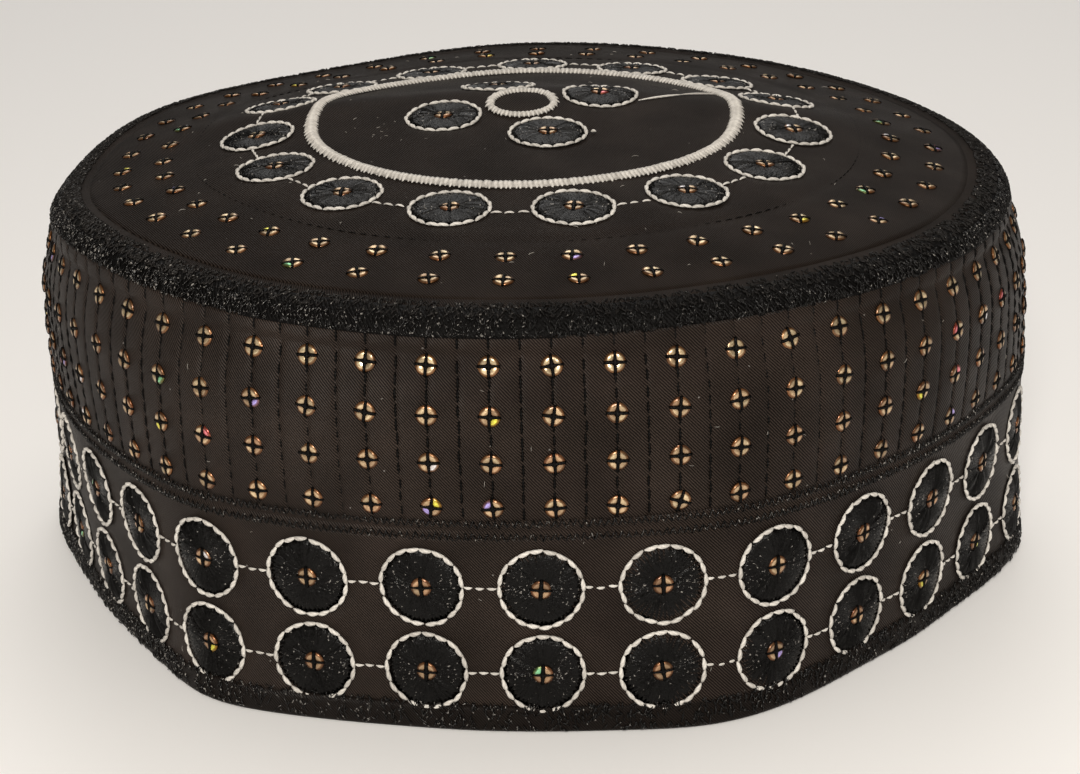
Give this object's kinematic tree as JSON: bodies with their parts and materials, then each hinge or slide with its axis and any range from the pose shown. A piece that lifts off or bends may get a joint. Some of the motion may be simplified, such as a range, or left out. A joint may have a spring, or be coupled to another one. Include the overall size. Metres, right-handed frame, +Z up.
{
  "type": "tubeteika skullcap",
  "caption": "Round tubeteika skullcap of quilted black satin with a low domed top, upright wall and flat hem, open below for the head, trimmed with embroidered circles and sequins.",
  "frame": {"origin": "middle of the cap's outline, on the surface that the hem rests on", "axes": "+Z up through the crown, -Y to the front that faces the viewer, +X to the viewer's right"},
  "size_m": [0.19, 0.1845, 0.086],
  "materials": {
    "black_satin": "black satin twill with a soft sheen",
    "black_thread": "glossy black overlock and zigzag thread",
    "white_thread": "off-white embroidery thread",
    "gold_sequin": "gold sequins with a pearly flash"
  },
  "bodies": {
    "root": {"top_panel": "black_satin", "side_panel": "black_satin", "lower_band": "black_satin", "crown_welt": "black_thread", "band_seam": "black_thread", "hem": "black_thread", "crown_ring": "white_thread", "centre_ring": "white_thread"}
  },
  "joints": []
}
